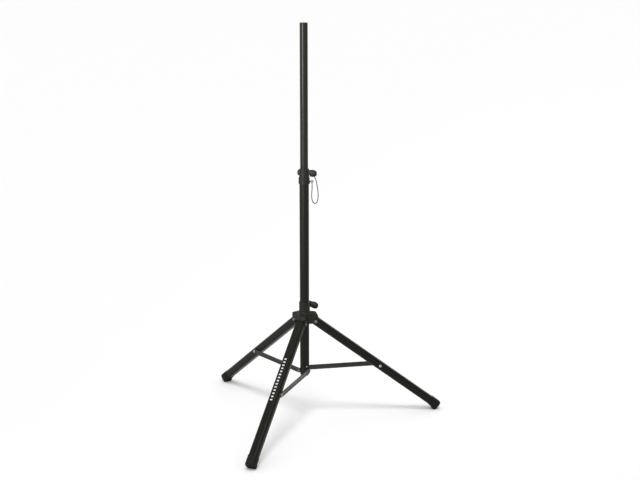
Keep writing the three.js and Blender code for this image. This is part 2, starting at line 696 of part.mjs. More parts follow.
buildMast();
buildLowerTube();
buildCollar();
buildClamp(collarClamp);
buildLockingPin();
buildLanyard();
buildHub();
buildClamp(hubClamp);
buildBase();
for (const [side, azimuth] of Object.entries(legAzimuths)) {
  buildLeg(side, azimuth);
  buildBrace(side, azimuth);
}

// The origin is the middle of the footprint, on the floor.
stand.updateMatrixWorld(true);
const footprint = new THREE.Box3().setFromObject(stand, true);
stand.position.x = -(footprint.min.x + footprint.max.x) / 2;
stand.position.y = -(footprint.min.y + footprint.max.y) / 2;
stand.updateMatrixWorld(true);

export default stand;
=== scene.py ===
"""Speaker tripod stand: a telescoping column on a folding tripod with strut braces."""
import math

import bmesh
import bpy
from mathutils import Matrix, Vector


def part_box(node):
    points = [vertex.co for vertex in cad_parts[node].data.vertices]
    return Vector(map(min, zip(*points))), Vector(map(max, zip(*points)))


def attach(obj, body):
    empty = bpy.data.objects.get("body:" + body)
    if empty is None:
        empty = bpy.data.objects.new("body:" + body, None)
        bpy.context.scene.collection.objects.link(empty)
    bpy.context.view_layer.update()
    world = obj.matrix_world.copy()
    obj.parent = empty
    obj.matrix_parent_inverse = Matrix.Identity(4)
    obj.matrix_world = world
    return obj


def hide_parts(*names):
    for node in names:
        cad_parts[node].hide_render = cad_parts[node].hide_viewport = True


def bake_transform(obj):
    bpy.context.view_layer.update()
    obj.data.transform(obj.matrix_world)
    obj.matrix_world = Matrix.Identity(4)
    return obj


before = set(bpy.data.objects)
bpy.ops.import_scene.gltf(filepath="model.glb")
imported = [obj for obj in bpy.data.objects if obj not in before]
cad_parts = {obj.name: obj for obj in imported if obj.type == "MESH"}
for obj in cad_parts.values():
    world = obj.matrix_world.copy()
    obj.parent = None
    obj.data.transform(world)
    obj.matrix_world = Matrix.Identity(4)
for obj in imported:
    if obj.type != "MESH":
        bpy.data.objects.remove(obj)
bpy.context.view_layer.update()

# ---- Camera -------------------------------------------------------------------------------
# A standing person's view from the front, about as high as the top of the stand.
mast_low, mast_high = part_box("mast_tube")
column_x = (mast_low.x + mast_high.x) / 2
column_y = (mast_low.y + mast_high.y) / 2

camera_distance, camera_height = 5.1638, 2.0575
camera_dip, camera_turn = 13.301, -0.775

camera = bpy.data.objects.new("camera", bpy.data.cameras.new("camera"))
bpy.context.scene.collection.objects.link(camera)
camera.location = (column_x, column_y - camera_distance, camera_height)
camera.rotation_euler = (math.radians(90 - camera_dip), 0, math.radians(camera_turn))
camera.data.lens = 67.0
camera.data.sensor_width = 36.0
bpy.context.scene.camera = camera

# ---- Lanyard cable ------------------------------------------------------------------------
# A vinyl coated wire rope, from the ring eyelet under the collar's T handle down in a free loop
# and up to the crimped ferrule below the locking pin.
MM = 0.001
cable_diameter = 4.0
cable_route = [
    (25, 23.3, 1124.4), (29.7, 22, 1122.9), (35.2, 21.1, 1122.2), (41, 20.7, 1120.8),
    (46.2, 20.7, 1117.2), (49.8, 20.7, 1111.4), (52.6, 20.2, 1103.4), (55.3, 19.6, 1091),
    (57.6, 18.6, 1077.6), (60, 17.4, 1062.2), (61.7, 16, 1046.7), (61.9, 14.6, 1031.2),
    (60.2, 12.8, 1017.6), (55.9, 10.4, 1006), (49, 8.3, 1001), (41.6, 6.3, 1004.6),
    (36.2, 4.9, 1014.6), (33.5, 3.9, 1029), (33.2, 3.3, 1045), (34.4, 3.1, 1059),
    (35, 3.05, 1069.8),
]


def place(azimuth=0.0, height=0.0):
    """Takes millimetres in a frame at the column, X out along the azimuth, to the part's frame."""
    turn = Matrix.Rotation(math.radians(azimuth), 4, "Z")
    middle = Matrix.Translation((column_x, column_y, height * MM))
    return middle @ turn @ Matrix.Scale(MM, 4)


def smooth_path(points, steps):
    """Points along a smooth curve through the given ones, steps between each pair."""
    points = [Vector(point) for point in points]
    ends = [2 * points[0] - points[1]] + points + [2 * points[-1] - points[-2]]
    path = []
    for before, start, end, after in zip(ends, ends[1:], ends[2:], ends[3:]):
        for step in range(steps):
            t = step / steps
            path.append(
                0.5 * (2 * start + (end - before) * t
                       + (2 * before - 5 * start + 4 * end - after) * t ** 2
                       + (3 * start - before - 3 * end + after) * t ** 3))
    path.append(points[-1])
    return path


def swept(path, radius, sides=12):
    """A round cord along a path, with its length and its turn as UV coordinates."""
    bm = bmesh.new()
    tangents = [(b - a).normalized() for a, b in zip(path[:1] + path, path[1:] + path[-1:])]
    tangents[0] = (path[1] - path[0]).normalized()
    turn = tangents[0].to_track_quat("Z", "Y").to_matrix().to_4x4()
    ring = bmesh.ops.create_circle(
        bm, cap_ends=True, segments=sides, radius=radius, matrix=Matrix.Translation(path[0]) @ turn)
    loop = list({edge for vert in ring["verts"] for edge in vert.link_edges})
    uv = bm.loops.layers.uv.new("UVMap")
    travelled = 0.0
    lengths = {vert: 0.0 for vert in ring["verts"]}
    around = {vert: index / sides for index, vert in enumerate(ring["verts"])}
    for index in range(1, len(path)):
        grown = bmesh.ops.extrude_edge_only(bm, edges=loop)["geom"]
        loop = [item for item in grown if isinstance(item, bmesh.types.BMEdge)]
        verts = [item for item in grown if isinstance(item, bmesh.types.BMVert)]
        bend = tangents[index - 1].rotation_difference(tangents[index]).to_matrix().to_4x4()
        there = Matrix.Translation(path[index]) @ bend @ Matrix.Translation(-path[index - 1])
        travelled += (path[index] - path[index - 1]).length
        for vert in verts:
            last = next(e.other_vert(vert) for e in vert.link_edges if e.other_vert(vert) in lengths)
            around[vert] = around[last]
        for vert in verts:
            lengths[vert] = travelled
        bmesh.ops.transform(bm, matrix=there, verts=verts)
    bmesh.ops.contextual_create(bm, geom=loop)
    bmesh.ops.recalc_face_normals(bm, faces=bm.faces)
    for face in bm.faces:
        high = max(around[corner.vert] for corner in face.loops)
        for corner in face.loops:
            turn_share = around[corner.vert]
            if high - turn_share > 0.5:
                turn_share += 1
            corner[uv].uv = (turn_share, lengths[corner.vert])
    return bm


def made(name, bm, matrix, body, material, slot, *nodes, sharp=32):
    """A finished piece: smooth but for its sharp edges, riding on its body for its CAD nodes."""
    mesh = bpy.data.meshes.new(name)
    bm.to_mesh(mesh)
    bm.free()
    mesh.transform(matrix)
    mesh.shade_smooth()
    mesh.set_sharp_from_angle(angle=math.radians(sharp))
    piece = bpy.data.objects.new(name, mesh)
    bpy.context.scene.collection.objects.link(piece)
    mesh.materials.append(material)
    if body:
        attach(piece, body)
    if nodes:
        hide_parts(*nodes)
    return piece


def node(tree, kind, inputs=None, **settings):
    """A shader node with its settings and its inputs' values or links."""
    item = tree.nodes.new(kind)
    for key, value in settings.items():
        setattr(item, key, value)
    for key, value in (inputs or {}).items():
        if isinstance(value, bpy.types.NodeSocket):
            tree.links.new(value, item.inputs[key])
        else:
            item.inputs[key].default_value = value
    return item


def surface(name, color, roughness, **sockets):
    """A material with its Principled shader, ready for its pattern."""
    material = bpy.data.materials.new(name)
    material.use_nodes = True
    shader = material.node_tree.nodes["Principled BSDF"]
    shader.inputs["Base Color"].default_value = (*color, 1)
    shader.inputs["Roughness"].default_value = roughness
    for key, value in sockets.items():
        shader.inputs[key.replace("_", " ")].default_value = value
    return material, material.node_tree, shader


def cable_vinyl():
    """Clear smoky vinyl over wire strands that wind round the cord."""
    material, tree, shader = surface("cable_vinyl", (0.03, 0.024, 0.034), 0.4, Specular_IOR_Level=0.2)
    where = node(tree, "ShaderNodeTexCoord")
    split = node(tree, "ShaderNodeSeparateXYZ", {0: where.outputs["UV"]})
    lay = node(tree, "ShaderNodeMath", {0: split.outputs["Y"], 1: 0.09}, operation="MULTIPLY")
    wound = node(tree, "ShaderNodeMath", {0: split.outputs["X"], 1: lay.outputs[0]}, operation="ADD")
    count = node(tree, "ShaderNodeMath", {0: wound.outputs[0], 1: 6 * math.tau}, operation="MULTIPLY")
    wave = node(tree, "ShaderNodeMath", {0: count.outputs[0]}, operation="SINE")
    strand = node(tree, "ShaderNodeMapRange", {0: wave.outputs[0], 1: -1, 2: 1, 3: 0, 4: 1})
    tone = node(tree, "ShaderNodeMix", {0: strand.outputs[0], 6: (0.01, 0.008, 0.012, 1),
                                        7: (0.05, 0.04, 0.055, 1)}, data_type="RGBA")
    tree.links.new(tone.outputs[2], shader.inputs["Base Color"])
    bump = node(tree, "ShaderNodeBump", {"Height": strand.outputs[0], "Strength": 0.35,
                                         "Distance": 0.0002})
    tree.links.new(bump.outputs[0], shader.inputs["Normal"])
    return material


vinyl = cable_vinyl()
cable_path = smooth_path(cable_route, 6)
cable = made("lanyard_cord", swept(cable_path, cable_diameter / 2), place(), None, vinyl,
             "cable", "lanyard_cable", sharp=60)
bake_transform(cable)

# ---- Floor and light ----------------------------------------------------------------------
# A pale floor in an even pale surround. A soft sun from above and a little in front throws the
# shadows, and a tall strip on the left draws a narrow gleam down the tubes.
floor_radius = 60
strip_size, strip_spot, strip_aim_height = (0.4, 2.2), (-2.5, -3.6, 2.1), 1.85
strip_power, strip_spread = 24, 40
sun_power, sun_width, sun_forward, sun_aside = 0.95, 17, 17, 1
surround_power = 0.735

floor_material, floor_tree, floor_shader = surface("floor_white", (0.965, 0.965, 0.965), 0.9)
speckle = node(floor_tree, "ShaderNodeTexNoise", {"Scale": 3.0, "Detail": 2.0})
shade = node(floor_tree, "ShaderNodeMapRange", {0: speckle.outputs[0], 3: 0.975, 4: 0.985})
floor_tree.links.new(shade.outputs[0], floor_shader.inputs["Base Color"])
bm = bmesh.new()
bmesh.ops.create_circle(bm, cap_ends=True, segments=96, radius=floor_radius)
floor_mesh = bpy.data.meshes.new("floor")
bm.to_mesh(floor_mesh)
bm.free()
floor_mesh.materials.append(floor_material)
floor = bpy.data.objects.new("floor", floor_mesh)
bpy.context.scene.collection.objects.link(floor)


def soft_light(name, size, spot, target, power, spread):
    """A rectangular light that faces a target and draws a gleam without a shadow."""
    lamp = bpy.data.lights.new(name, "AREA")
    lamp.shape = "RECTANGLE"
    lamp.size, lamp.size_y = size
    lamp.energy = power
    lamp.use_shadow = False
    lamp.spread = math.radians(spread)
    light = bpy.data.objects.new(name, lamp)
    light.location = spot
    light.rotation_euler = (Vector(target) - Vector(spot)).to_track_quat("-Z", "Y").to_euler()
    bpy.context.scene.collection.objects.link(light)


soft_light("left_strip", strip_size, strip_spot, (column_x, column_y, strip_aim_height), strip_power,
           strip_spread)
sun = bpy.data.objects.new("overhead", bpy.data.lights.new("overhead", "SUN"))
sun.data.energy = sun_power
sun.data.angle = math.radians(sun_width)
sun.rotation_euler = (math.radians(sun_forward), math.radians(sun_aside), 0)
bpy.context.scene.collection.objects.link(sun)
world = bpy.data.worlds.new("studio")
bpy.context.scene.world = world
world.use_nodes = True
world.node_tree.nodes["Background"].inputs["Color"].default_value = (1, 1, 1, 1)
world.node_tree.nodes["Background"].inputs["Strength"].default_value = surround_power
bpy.context.scene.view_settings.view_transform = "Standard"

# ---- Locking pin, eyelet, end loop and ferrule -------------------------------------------
# The locking pin is a plated steel pin with a flange and a forged eye. The lanyard's end loop goes
# through the eye and back into a crimped sleeve, and a ring terminal holds its other end.
pin_azimuth = 5
pin_height = 1101.6
pin_radius = 3.0
pin_tip = 17.8
pin_flange = 28.5
flange_radius = 4.4
eye_radius = 4.9
eye_wire = 1.6
eye_middle = pin_flange + 1 + eye_radius + eye_wire - 0.9
ferrule_top = -19.5
ferrule_length = 12
ferrule_radius, ferrule_sides = 2.3, 32


def turned(outline, sides=64):
    """An outline of (radius, along) turned about Z. It closes on itself or ends on the axis."""
    bm = bmesh.new()
    chain = [bm.verts.new((radius, 0, along)) for radius, along in outline]
    for one, other in zip(chain, chain[1:]):
        bm.edges.new((one, other))
    if outline[0][0] > 0:
        bm.edges.new((chain[-1], chain[0]))
    bmesh.ops.spin(bm, geom=list(bm.verts) + list(bm.edges), cent=(0, 0, 0), axis=(0, 0, 1),
                   angle=math.tau, steps=sides, use_merge=True)
    bmesh.ops.remove_doubles(bm, verts=bm.verts, dist=0.002)
    bmesh.ops.recalc_face_normals(bm, faces=bm.faces)
    return bm


def soften(bm, size, segments=2, angle=35):
    """Rounds every edge that turns by more than the angle."""
    edges = [e for e in bm.edges if len(e.link_faces) == 2 and e.calc_face_angle(0) > math.radians(angle)]
    bmesh.ops.bevel(bm, geom=edges, offset=size, segments=segments, profile=0.5, affect="EDGES",
                    material=-1, clamp_overlap=True)
    return bm


along_x = Matrix.Rotation(math.radians(90), 4, "Y")
along_y = Matrix.Rotation(math.radians(-90), 4, "X")


def rod(radius, start, end):
    """The outline of a plain rod."""
    return [(0, start), (radius, start), (radius, end), (0, end)]


def tube(outer, inner, start, end):
    """The outline of a plain tube."""
    return [(inner, start), (outer, start), (outer, end), (inner, end)]


def working(bm, matrix=Matrix.Identity(4)):
    """A solid to join or cut with, which isn't a piece itself."""
    mesh = bpy.data.meshes.new("working")
    bm.to_mesh(mesh)
    bm.free()
    mesh.transform(matrix)
    item = bpy.data.objects.new("working", mesh)
    bpy.context.scene.collection.objects.link(item)
    return item


def settled(item):
    """The bmesh of a working solid with its modifiers applied. The solid is used up."""
    bpy.context.view_layer.update()
    graph = bpy.context.evaluated_depsgraph_get()
    bm = bmesh.new()
    bm.from_mesh(item.evaluated_get(graph).to_mesh())
    tools = [step.object for step in item.modifiers if step.type == "BOOLEAN"]
    for used in tools + [item]:
        mesh = used.data
        bpy.data.objects.remove(used)
        bpy.data.meshes.remove(mesh)
    return bm


def combine(first, joins=(), cuts=()):
    """The first solid with others joined on and then cut away."""
    for operation, tools in (("UNION", joins), ("DIFFERENCE", cuts)):
        for tool in tools:
            step = first.modifiers.new(operation, "BOOLEAN")
            step.operation = operation
            step.solver = "MANIFOLD"
            step.object = tool
    return settled(first)


def moulded(bm, cell, rounds):
    """Rounds all corners alike, as a mould does, with an even fine mesh."""
    item = working(bm)
    mesh_step = item.modifiers.new("even", "REMESH")
    mesh_step.mode = "VOXEL"
    mesh_step.voxel_size = cell
    smooth_step = item.modifiers.new("round", "SMOOTH")
    smooth_step.factor = 0.5
    smooth_step.iterations = rounds
    return settled(item)


def marks_group():
    """Shared surface effects: bare edges, fine grain, slow clouding and settled dust."""
    group = bpy.data.node_groups.new("surface_marks", "ShaderNodeTree")
    for label, kind, direction in (
            ("Edge Radius", "NodeSocketFloat", "INPUT"), ("Grain Scale", "NodeSocketFloat", "INPUT"),
            ("Cloud Scale", "NodeSocketFloat", "INPUT"), ("Edge", "NodeSocketFloat", "OUTPUT"),
            ("Grain", "NodeSocketFloat", "OUTPUT"), ("Cloud", "NodeSocketFloat", "OUTPUT"),
            ("Dust", "NodeSocketFloat", "OUTPUT")):
        group.interface.new_socket(name=label, in_out=direction, socket_type=kind)
    start = node(group, "NodeGroupInput")
    end = node(group, "NodeGroupOutput")
    where = node(group, "ShaderNodeTexCoord").outputs["Object"]
    face = node(group, "ShaderNodeNewGeometry").outputs["Normal"]
    grain = node(group, "ShaderNodeTexNoise",
                 {"Vector": where, "Scale": start.outputs["Grain Scale"], "Detail": 3.0})
    cloud = node(group, "ShaderNodeTexNoise",
                 {"Vector": where, "Scale": start.outputs["Cloud Scale"], "Detail": 5.0, "Roughness": 0.6})
    rounded = node(group, "ShaderNodeBevel", {"Radius": start.outputs["Edge Radius"]}, samples=4)
    turn = node(group, "ShaderNodeVectorMath", {0: rounded.outputs[0], 1: face}, operation="DOT_PRODUCT")
    edge = node(group, "ShaderNodeMapRange",
                {0: turn.outputs["Value"], 1: 0.995, 2: 0.9, 3: 0.0, 4: 1.0})
    patchy = node(group, "ShaderNodeTexNoise", {"Vector": where, "Scale": 160.0, "Detail": 4.0})
    patch = node(group, "ShaderNodeMapRange", {0: patchy.outputs[0], 1: 0.48, 2: 0.66, 3: 0.0, 4: 1.0})
    worn = node(group, "ShaderNodeMath", {0: edge.outputs[0], 1: patch.outputs[0]}, operation="MULTIPLY")
    up = node(group, "ShaderNodeSeparateXYZ", {0: face})
    lying = node(group, "ShaderNodeMapRange", {0: up.outputs["Z"], 1: 0.35, 2: 0.95, 3: 0.0, 4: 1.0})
    fluff = node(group, "ShaderNodeTexNoise", {"Vector": where, "Scale": 700.0, "Detail": 6.0})
    fleck = node(group, "ShaderNodeMapRange", {0: fluff.outputs[0], 1: 0.45, 2: 0.75, 3: 0.0, 4: 1.0})
    dust = node(group, "ShaderNodeMath", {0: lying.outputs[0], 1: fleck.outputs[0]}, operation="MULTIPLY")
    for label, source in (("Edge", worn), ("Grain", grain), ("Cloud", cloud), ("Dust", dust)):
        group.links.new(source.outputs[0], end.inputs[label])
    return group


marks = marks_group()
worn_edge = 0.0012
dust_tone = (0.3, 0.29, 0.27, 1)


def finish_of(name, color, other, roughness, grain, bump, edge=None, dust=0.0, cloud=8.0,
              metal=0.0, spread=0.08, **sockets):
    """A worn surface: two clouded tones, a grain, bare or rubbed edges and a little dust."""
    material, tree, shader = surface(name, color, roughness, Metallic=metal, **sockets)
    group = node(tree, "ShaderNodeGroup", node_tree=marks)
    group.inputs["Edge Radius"].default_value = worn_edge
    group.inputs["Grain Scale"].default_value = grain
    group.inputs["Cloud Scale"].default_value = cloud
    tone = node(tree, "ShaderNodeMix", {0: group.outputs["Cloud"], 6: (*color, 1), 7: (*other, 1)},
                data_type="RGBA")
    last = tone.outputs[2]
    if edge:
        bare, amount = edge
        share = node(tree, "ShaderNodeMath", {0: group.outputs["Edge"], 1: amount}, operation="MULTIPLY")
        rub = node(tree, "ShaderNodeMix", {0: share.outputs[0], 6: last, 7: (*bare, 1)}, data_type="RGBA")
        last = rub.outputs[2]
    if dust:
        share = node(tree, "ShaderNodeMath", {0: group.outputs["Dust"], 1: dust}, operation="MULTIPLY")
        grey = node(tree, "ShaderNodeMix", {0: share.outputs[0], 6: last, 7: dust_tone}, data_type="RGBA")
        last = grey.outputs[2]
    tree.links.new(last, shader.inputs["Base Color"])
    sheen = node(tree, "ShaderNodeMapRange", {0: group.outputs["Cloud"], 1: 0.3, 2: 0.7,
                                              3: roughness - spread, 4: roughness + spread})
    tree.links.new(sheen.outputs[0], shader.inputs["Roughness"])
    ripple = node(tree, "ShaderNodeBump", {"Height": group.outputs["Grain"], "Strength": bump,
                                           "Distance": 0.0002})
    tree.links.new(ripple.outputs[0], shader.inputs["Normal"])
    return material


zinc = finish_of("zinc_plate", (0.33, 0.33, 0.31), (0.42, 0.42, 0.39), 0.38, 900.0, 0.15,
                 cloud=120.0, metal=1.0)
pin_steel = finish_of("pin_steel", (0.12, 0.115, 0.12), (0.17, 0.165, 0.17), 0.36, 900.0, 0.15,
                      cloud=90.0, metal=1.0)
crimp_steel = finish_of("blackened_crimp", (0.07, 0.065, 0.07), (0.11, 0.1, 0.11), 0.4, 900.0, 0.15,
                        cloud=90.0, metal=1.0)

shank = turned([(0, pin_tip), (1.8, pin_tip), (pin_radius, pin_tip + 2), (pin_radius, pin_flange),
                (flange_radius, pin_flange), (flange_radius, pin_flange + 1),
                (flange_radius - 2, pin_flange + 1.6), (0, pin_flange + 1.6)])
soften(shank, 0.25)


def ring_of(radius, wire, steps=56, sides=20):
    """A round wire ring about Y."""
    bm = bmesh.new()
    bmesh.ops.create_circle(bm, segments=sides, radius=wire, matrix=Matrix.Translation((radius, 0, 0)))
    bmesh.ops.spin(bm, geom=list(bm.verts) + list(bm.edges), cent=(0, 0, 0), axis=(0, 1, 0),
                   angle=math.tau, steps=steps, use_merge=True)
    bmesh.ops.remove_doubles(bm, verts=bm.verts, dist=0.002)
    bmesh.ops.recalc_face_normals(bm, faces=bm.faces)
    return bm


pin_body = combine(working(shank, along_x),
                   joins=[working(ring_of(eye_radius, eye_wire), Matrix.Translation((eye_middle, 0, 0)))])
made("locking_pin_body", pin_body, place(pin_azimuth, pin_height), "locking_pin", pin_steel, "steel",
     "locking_pin")

wire = cable_diameter / 2
crown = -eye_radius + eye_wire + 0.3 + wire
bow = eye_wire + 0.6 + wire
loop_route = [
    (eye_middle, -1.7, ferrule_top + 0.3), (eye_middle, -2.6, ferrule_top + 4),
    (eye_middle, -bow - 0.6, ferrule_top + 8.5), (eye_middle, -bow, crown - 2.6),
    (eye_middle, 0, crown), (eye_middle, bow, crown - 2.6), (eye_middle, bow + 0.6, ferrule_top + 8.5),
    (eye_middle, 2.6, ferrule_top + 4), (eye_middle, 1.7, ferrule_top + 0.3),
]
end_loop = made("lanyard_end_loop", swept(smooth_path(loop_route, 6), wire * 0.75),
                place(pin_azimuth, pin_height), "locking_pin", vinyl, "cable", "lanyard_loop", sharp=60)

# The sleeve is an oval tube pressed flat at three places.
bm = bmesh.new()
bmesh.ops.create_circle(bm, cap_ends=True, segments=ferrule_sides, radius=ferrule_radius)
bmesh.ops.scale(bm, vec=(1, 1.65, 1), verts=bm.verts)
for lift, squeeze in ((1.6, 1), (0.8, 0.86), (1.4, 1), (1, 1.16), (1, 1 / 1.16), (1.4, 1), (1, 1.16),
                      (1, 1 / 1.16), (1.4, 1), (0.8, 1.16), (1.6, 1)):
    caps = [face for face in bm.faces if len(face.verts) == ferrule_sides]
    top = max(caps, key=lambda face: face.calc_center_median().z)
    grown = bmesh.ops.extrude_discrete_faces(bm, faces=[top])["faces"][0]
    bmesh.ops.translate(bm, vec=(0, 0, lift), verts=grown.verts)
    bmesh.ops.scale(bm, vec=(squeeze, 1, 1), verts=grown.verts)
bmesh.ops.remove_doubles(bm, verts=bm.verts, dist=0.002)
bmesh.ops.recalc_face_normals(bm, faces=bm.faces)
ferrule = made("lanyard_crimp", soften(bm, 0.3, angle=50),
               place(pin_azimuth, pin_height)
               @ Matrix.Translation((eye_middle, 0, ferrule_top - ferrule_length)),
               "locking_pin", crimp_steel, "steel", "lanyard_ferrule")

collar_azimuth, collar_height, collar_tilt = 75, 1131, 2
collar_face = 26.6
eyelet_face = collar_face + 0.5
ring_radius, ring_hole = 7.5, 4.6
barrel_radius, barrel_start, barrel_end = 2.3, 6.2, 19
eyelet_ring = working(soften(turned(tube(ring_radius, ring_hole, eyelet_face, eyelet_face + 1.6)), 0.3),
                      along_x)
barrel_outline = [(0, barrel_start), (barrel_radius, barrel_start)]
for groove in (9, 14):
    barrel_outline += [(barrel_radius, groove), (barrel_radius - 0.35, groove + 0.8),
                       (barrel_radius - 0.35, groove + 2), (barrel_radius, groove + 2.8)]
barrel = turned(barrel_outline + [(barrel_radius, barrel_end), (0, barrel_end)], 32)
barrel_place = Matrix.Translation((eyelet_face + 1.9, 0, 0)) @ Matrix.Rotation(math.pi, 4, "Z") @ along_y
eyelet_hole = working(turned(rod(ring_hole, eyelet_face - 5, eyelet_face + 9)), along_x)
eyelet_bm = combine(eyelet_ring, joins=[working(barrel, barrel_place)], cuts=[eyelet_hole])
eyelet = made("lanyard_ring_terminal", eyelet_bm,
              place(collar_azimuth, collar_height) @ Matrix.Rotation(math.radians(20), 4, "X"),
              "column", zinc, "steel", "lanyard_eyelet")

# ---- Mast ---------------------------------------------------------------------------------
# A drawn steel tube, powder coated satin black, with a row of punched holes for the locking pin, a
# moulded cap in its top end and a nylon guide shoe in its lower end.
mast_radius = 17.5
mast_bore = 15.7
mast_bottom, mast_end, mast_top = 908, 1788, 1791
hole_pitch, hole_count = 50, 13
cap_plug, cap_recess = 15.4, 9.8

mast_paint = finish_of("mast_coat", (0.0105, 0.0105, 0.0068), (0.0135, 0.0135, 0.009), 0.3, 1500.0, 0.12,
                       edge=((0.12, 0.12, 0.115), 0.5), dust=0.05, cloud=6.0, Specular_IOR_Level=0.12)
cap_plastic = finish_of("cap_plastic", (0.012, 0.012, 0.009), (0.017, 0.017, 0.0135), 0.5, 2200.0, 0.3,
                        edge=((0.09, 0.09, 0.085), 0.4), dust=0.2, cloud=40.0, Specular_IOR_Level=0.2)
natural_nylon = finish_of("natural_nylon", (0.6, 0.58, 0.52), (0.66, 0.64, 0.58), 0.45, 1200.0, 0.1,
                          cloud=30.0)


def radial(azimuth, height):
    """Lays what is turned about Z out along the azimuth, at a height on the column."""
    turn = Matrix.Rotation(math.radians(azimuth), 4, "Z")
    return Matrix.Translation((0, 0, height)) @ turn @ along_x


def coated(node_name, material):
    """Gives a CAD node that stays as it is its finish."""
    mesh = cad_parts[node_name].data
    mesh.materials.clear()
    mesh.materials.append(material)


def tube_with_holes(outer, inner, start, end, rings, holes):
    """A tube in even rings, with radial holes at (radius, azimuth, height) in one wall."""
    heights = [start + (end - start) * ring / rings for ring in range(rings + 1)]
    outline = [(inner, z) for z in reversed(heights)] + [(outer, z) for z in heights]
    body = working(soften(turned(outline, 96), 0.35, angle=60))
    drills = [working(turned(rod(radius, 0, outer + 5), 32), radial(azimuth, height))
              for radius, azimuth, height in holes]
    return combine(body, cuts=drills)


mast_holes = [(pin_radius + 0.3, pin_azimuth, pin_height + hole_pitch * row)
              for row in range(hole_count)]
made("mast", tube_with_holes(mast_radius, mast_bore, mast_bottom, mast_end, 88, mast_holes), place(),
     "mast", mast_paint, "tube_paint", "mast_tube")

cap = turned([(0, mast_end - 18), (cap_plug - 0.4, mast_end - 18), (cap_plug, mast_end - 16),
              (cap_plug, mast_end + 0.3), (mast_radius, mast_end + 0.3), (mast_radius, mast_top - 1.4),
              (mast_radius - 0.5, mast_top - 0.5), (mast_radius - 1.6, mast_top),
              (cap_recess + 0.6, mast_top), (cap_recess, mast_top - 0.8), (0, mast_top - 0.8)], 96)
made("mast_cap", soften(cap, 0.2, angle=50), place(), "mast", cap_plastic, "moulding", "mast_top_plug")
coated("mast_guide_shoe", natural_nylon)

# ---- Lower tube ---------------------------------------------------------------------------
# A wider tube of the same steel and coat, that the hub slides on. A nylon bush lines its top end.
lower_radius, lower_bore = 21, 19
lower_bottom, lower_top = 240, 1119
small_rivet, small_head, small_rise = 2.0, 4, 1.6
collar_rivets = {"left": 160, "rear": 100}
collar_rivet_height = 1099
base_rivets = {"front": -66, "rear": 114}
base_rivet_height = 248

# The lower tube's tones are the mast's coat painted darker: painted shade for the less lit lower tube.
shaded_lower_paint = finish_of("lower_tube_coat_painted_shade", (0.006, 0.006, 0.0032), (0.0082, 0.0082, 0.0048), 0.34,
                        1500.0, 0.12, edge=((0.12, 0.12, 0.115), 0.5), dust=0.05, cloud=6.0,
                        Specular_IOR_Level=0.12)
lower_holes = [(pin_radius + 0.3, pin_azimuth, pin_height)]
lower_holes += [(small_rivet + 0.3, azimuth, collar_rivet_height) for azimuth in collar_rivets.values()]
lower_holes += [(small_rivet + 0.3, azimuth, base_rivet_height) for azimuth in base_rivets.values()]
lower_bm = tube_with_holes(lower_radius, lower_bore, lower_bottom, lower_top, 88, lower_holes)
made("lower_column_tube", lower_bm, place(), "column", shaded_lower_paint, "tube_paint", "lower_tube")
for name in ("lower_tube_bush", "hub_bush"):
    coated(name, natural_nylon)

# ---- Collar -------------------------------------------------------------------------------
# A glass filled nylon moulding on the end of the lower tube, riveted to it: a bell around the lower
# tube, a neck around the mast, a boss for the clamp screw and one for the locking pin.
bell_bore, bell_radius = 21.3, 24.5
bell_bottom, bell_top = 1092, 1116
neck_bore, neck_radius, neck_top = 17.8, 21.7, 1158
bush_seat = 1121.6
boss_radius = 10.5
pad_hole = 6.5

moulded_black = finish_of("moulded_black", (0.0085, 0.0085, 0.0055), (0.012, 0.012, 0.0085), 0.5,
                          2400.0, 0.35, edge=((0.1, 0.098, 0.09), 0.5), dust=0.1, cloud=25.0,
                          Specular_IOR_Level=0.15)
shell = turned([
    (bell_bore, bell_bottom), (bell_radius + 0.5, bell_bottom), (bell_radius + 0.5, bell_bottom + 4),
    (bell_radius, bell_bottom + 4.6), (bell_radius, bell_top - 3), (bell_radius + 0.5, bell_top - 2.4),
    (bell_radius + 0.5, bell_top + 0.6), (bell_radius - 0.9, bell_top + 3.5),
    (neck_radius, bell_top + 8), (neck_radius - 0.4, neck_top - 6), (neck_radius + 0.5, neck_top - 5.4),
    (neck_radius + 0.5, neck_top - 1), (neck_radius - 0.7, neck_top), (neck_bore, neck_top),
    (neck_bore, bush_seat), (bell_bore, bush_seat)], 96)


def boss(face, start, radius, azimuth, height):
    """A round boss that stands out of a tube wall, with a flat face."""
    bm = turned([(0, start), (radius + 1.5, start), (radius, face - 1), (radius - 1, face), (0, face)], 64)
    return working(bm, radial(azimuth, height))


def drill(radius, azimuth, height, reach, start=0):
    """The solid that cuts a radial hole."""
    return working(turned(rod(radius, start, reach), 48), radial(azimuth, height))


pin_face, pin_boss_radius = 25.2, 6.5
collar_cuts = [
    working(turned(rod(neck_bore, bush_seat - 1, neck_top + 1), 96)),
    working(turned(rod(bell_bore, bell_bottom - 1, bush_seat), 96)),
    drill(pad_hole, collar_azimuth, collar_height, collar_face + 5),
    drill(pin_radius + 0.3, pin_azimuth, pin_height, pin_face + 5),
]
collar_cuts += [drill(small_rivet + 0.3, azimuth, collar_rivet_height, bell_radius + 5)
                for azimuth in collar_rivets.values()]
collar = combine(working(shell),
                 joins=[boss(collar_face, 19, boss_radius, collar_azimuth, collar_height),
                        boss(pin_face, 22, pin_boss_radius, pin_azimuth, pin_height)],
                 cuts=collar_cuts)
made("collar_moulding", moulded(collar, 0.55, 3), place(), "column", moulded_black, "moulding", "collar",
     sharp=50)


def rivet_outline(shank_radius, head, rise, start, face):
    """A rivet with a low domed head, set against a face."""
    dome = [(head * math.cos(step * math.pi / 10),
             face + 0.35 + (rise - 0.35) * math.sin(step * math.pi / 10)) for step in range(5)]
    return [(0, start), (shank_radius, start), (shank_radius, face), (head - 0.15, face)] + dome + [
        (head * 0.3, face + rise * 0.93), (0, face + rise * 0.9)]


